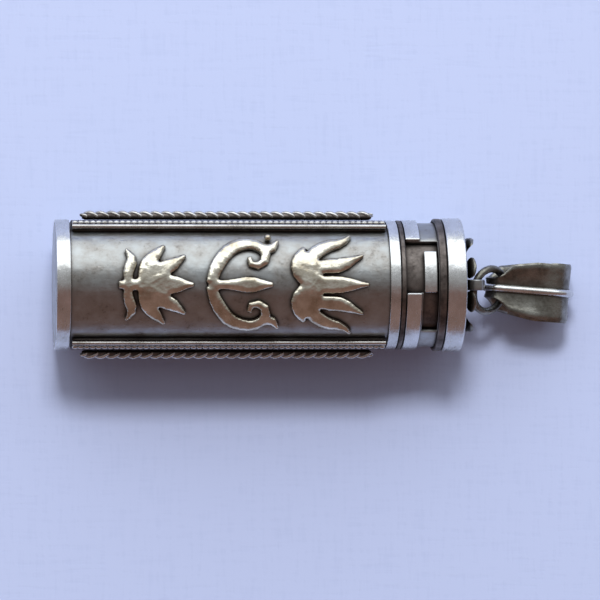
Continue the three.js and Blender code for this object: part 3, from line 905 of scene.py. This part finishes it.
def make_scroll():
    """Paper rolled up in one long spiral, with a thread wound round its middle."""
    low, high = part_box("mantra_scroll")
    centre = Vector((0, (low[1] + high[1]) / 2, (low[2] + high[2]) / 2))
    outer, core, turns = (high[1] - low[1]) / 2 - 0.02 * mm, 0.9 * mm, 13
    pitch = (outer - core) / turns
    per_turn = 48
    sway = 0.25 * mm  # of the paper's edges
    under, over = 0.04, 0.8  # faces of the paper, in shares of the pitch
    bm = bmesh.new()
    rows = []
    for i in range(turns * per_turn + 1):
        turn = 2 * math.pi * i / per_turn
        radius = core + pitch * turn / (2 * math.pi)
        out = Vector((0, math.sin(turn), math.cos(turn)))
        edge = sway * noise.noise(Vector((turn, 0, 0)))
        near, far = low[0] - edge, high[0] - sway + edge
        row = []
        for x, level in ((near, under), (far, under), (far, over), (near, over)):
            spot = Vector((max(x, low[0]), 0, 0)) + centre
            row.append(bm.verts.new(spot + out * (radius - pitch * level)))
        rows.append(row)
    bar_faces(bm, rows)
    finish_mesh("scroll", bm, "body", PAPER, ("mantra_scroll",), 50)

    start, end, _ = span("scroll_tie")
    thread = 0.07 * mm
    bm = bmesh.new()
    rows = []
    wraps, sides = 7, 8
    for i in range(wraps * per_turn + 1):
        turn = 2 * math.pi * i / per_turn
        out = Vector((0, math.sin(turn), math.cos(turn)))
        x = start + thread + (end - start - 2 * thread) * i / (wraps * per_turn)
        middle_at = centre + Vector((x, 0, 0)) + out * (outer + 0.02 * mm + thread)
        row = []
        for k in range(sides):
            lap = 2 * math.pi * k / sides
            rim = out * math.cos(lap) + Vector((math.sin(lap), 0, 0))
            row.append(bm.verts.new(middle_at + thread * rim))
        rows.append(row)
    bar_faces(bm, rows)
    finish_mesh("tie", bm, "body", THREAD, ("scroll_tie",), 60)


make_tube()
make_neck()
make_cap()
make_jump_ring()
make_bail()
make_trim()
make_ornaments()
make_scroll()

# ---- Floor, light and camera --------------------------------------------------------------


def make_floor():
    """Pale bluish cloth with a faint weave."""
    bpy.ops.mesh.primitive_plane_add(size=1.2, location=(0, 0, 0))
    floor = bpy.context.object
    floor.name = "floor"
    n = Nodes("cloth", "floor")
    warp = n.noise(1600, 2, 0.5, stretch=(1, 0.12, 1))
    weft = n.noise(1600, 2, 0.5, stretch=(0.12, 1, 1))
    weave = n.math("MULTIPLY", n.math("ADD", warp, weft), 0.5)
    n.bump((weave, 0.06 * mm))
    colour = n.mix(n.scale(weave, 0.35, 0.65), (0.43, 0.495, 0.72), (0.465, 0.53, 0.755))
    n.link(colour, n.shader.inputs["Base Color"])
    n.shader.inputs["Roughness"].default_value = 0.95
    n.shader.inputs["Specular IOR Level"].default_value = 0.1
    floor.data.materials.append(n.material)


def area_light(name, elevation, bearing, distance, size, power, colour):
    """A panel that faces the object from a bearing round it, from +X towards +Y."""
    data = bpy.data.lights.new(name, "AREA")
    data.shape = "RECTANGLE"
    data.size, data.size_y = size
    data.energy = power
    data.color = colour
    up, turn = math.radians(elevation), math.radians(bearing)
    out = Vector((math.cos(up) * math.cos(turn), math.cos(up) * math.sin(turn), math.sin(up)))
    lamp = bpy.data.objects.new(name, data)
    lamp.location = distance * out
    lamp.rotation_euler = (-out).to_track_quat("-Z", "Y").to_euler()
    bpy.context.scene.collection.objects.link(lamp)
    return lamp


def make_world():
    """A dim room, pale towards the window, grey above and brown on the far side."""
    world = bpy.data.worlds.new("room")
    world.use_nodes = True
    tree = world.node_tree
    place = tree.nodes.new("ShaderNodeTexCoord")
    parts = tree.nodes.new("ShaderNodeSeparateXYZ")
    ramp = tree.nodes.new("ShaderNodeValToRGB")
    shift = tree.nodes.new("ShaderNodeMapRange")
    shift.inputs["From Min"].default_value = -1
    tree.links.new(place.outputs["Generated"], parts.inputs["Vector"])
    tree.links.new(parts.outputs["Y"], shift.inputs["Value"])
    tree.links.new(shift.outputs["Result"], ramp.inputs["Fac"])
    tree.links.new(ramp.outputs["Color"], tree.nodes["Background"].inputs["Color"])
    # Colours from the far side, at 0, to the window's side, at 1.
    stops = [
        (0.0, (0.26, 0.17, 0.15)),
        (0.4, (0.21, 0.13, 0.115)),
        (0.52, (0.3, 0.3, 0.31)),
        (0.62, (0.45, 0.46, 0.48)),
        (1.0, (0.6, 0.63, 0.68)),
    ]
    elements = ramp.color_ramp.elements
    while len(elements) < len(stops):
        elements.new(0.5)
    for element, (at, colour) in zip(elements, stops):
        element.position = at
        element.color = (*colour, 1)
    tree.nodes["Background"].inputs["Strength"].default_value = 1.0
    bpy.context.scene.world = world


def make_lights():
    """A wide low window, and a small key light that gives the shadows but no highlights."""
    area_light(
        "window", elevation=31, bearing=92, distance=0.8, size=(1.8, 0.84), power=7.2,
        colour=(0.94, 0.98, 1.0),
    )
    key = area_light(
        "key", elevation=58, bearing=97, distance=0.8, size=(0.2, 0.15), power=4.6,
        colour=(1.0, 1.0, 1.0),
    )
    key.visible_glossy = False
    make_world()


def make_camera():
    """Looks down on the front panel from slightly towards the base."""
    data = bpy.data.cameras.new("camera")
    data.sensor_width = 36
    data.lens = 272
    data.clip_start = 0.01
    camera = bpy.data.objects.new("camera", data)
    lean = math.radians(5.35)
    aim = Vector((TUBE_START + 28.6 * mm, -1.8 * mm, AXIS.z))
    distance = 0.54
    camera.location = aim + distance * Vector((-math.sin(lean), 0, math.cos(lean)))
    camera.rotation_euler = (0, -lean, 0)
    bpy.context.scene.collection.objects.link(camera)
    bpy.context.scene.camera = camera


make_floor()
make_lights()
make_camera()
bpy.context.scene.view_settings.view_transform = "Standard"
